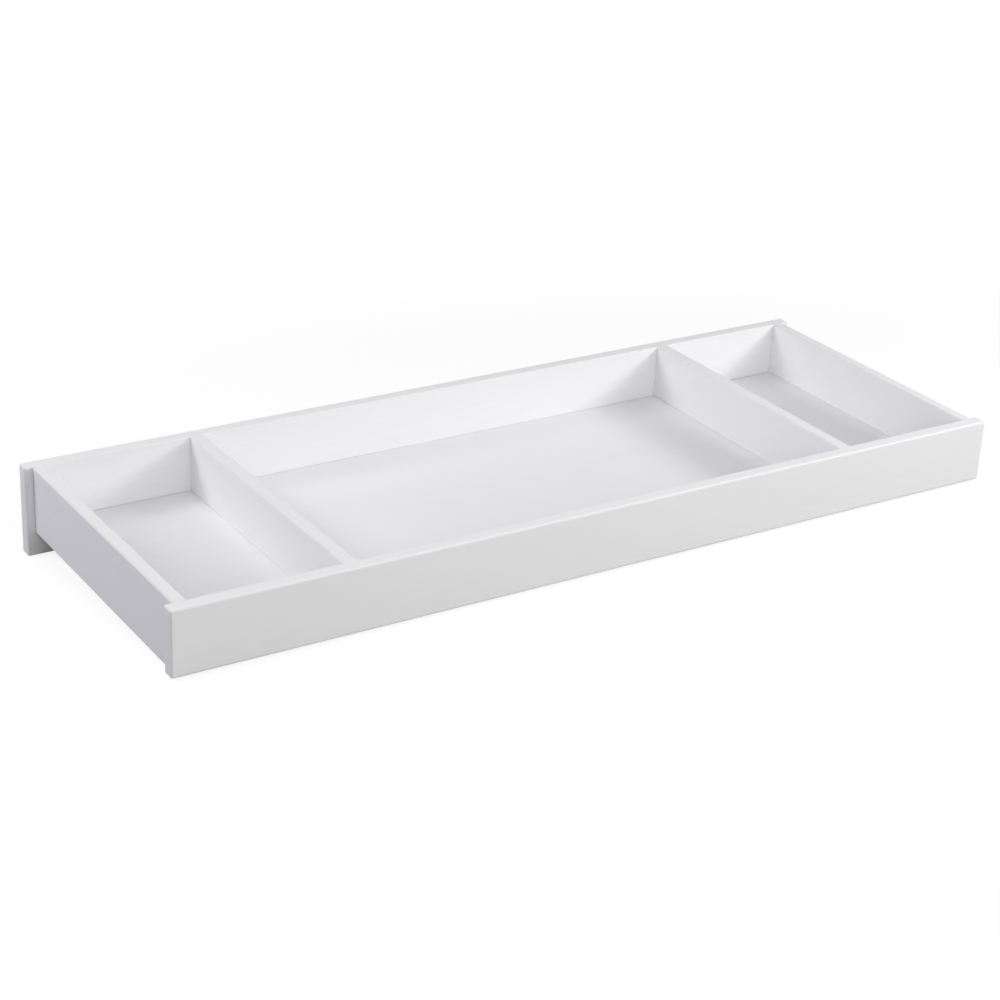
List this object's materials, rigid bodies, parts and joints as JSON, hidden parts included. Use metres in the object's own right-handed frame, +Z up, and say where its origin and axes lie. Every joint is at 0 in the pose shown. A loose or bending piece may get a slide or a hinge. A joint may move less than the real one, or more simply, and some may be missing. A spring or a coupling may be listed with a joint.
{
  "type": "changing tray",
  "caption": "Shallow white-painted wooden tray with a wide middle bay and a narrow bay at each end, set on a dresser top for changing a baby; its back board hangs down behind the dresser.",
  "frame": {"origin": "under the middle of the tray, level with the lower edge of the back board, which hangs 36 mm below the plane of the dresser top", "axes": "+X along the tray to the right as seen from its front, +Y from front to back, +Z up"},
  "size_m": [1.37, 0.505, 0.138],
  "materials": {
    "white_paint": "satin white paint over fine-grained wood",
    "beech": "bare turned beech",
    "zinced_steel": "zinc-plated"
  },
  "bodies": {
    "root": {"front_board": "white_paint", "back_board": "white_paint", "left_side_board": "white_paint", "right_side_board": "white_paint", "left_divider": "white_paint", "right_divider": "white_paint", "floor_panel": "white_paint", "left_floor_rail": "white_paint", "centre_floor_rail": "white_paint", "right_floor_rail": "white_paint", "dowel_left_side_front_low": "beech", "dowel_left_side_front_high": "beech", "dowel_left_side_back_low": "beech", "dowel_left_side_back_high": "beech", "dowel_left_divider_front_low": "beech", "dowel_left_divider_front_high": "beech", "dowel_left_divider_back_low": "beech", "dowel_left_divider_back_high": "beech", "dowel_right_side_front_low": "beech", "dowel_right_side_front_high": "beech", "dowel_right_side_back_low": "beech", "dowel_right_side_back_high": "beech", "dowel_right_divider_front_low": "beech", "dowel_right_divider_front_high": "beech", "dowel_right_divider_back_low": "beech", "dowel_right_divider_back_high": "beech", "screw_left_divider_1": "zinced_steel", "screw_left_divider_2": "zinced_steel", "screw_left_divider_3": "zinced_steel", "screw_right_divider_1": "zinced_steel", "screw_right_divider_2": "zinced_steel", "screw_right_divider_3": "zinced_steel"}
  },
  "joints": []
}
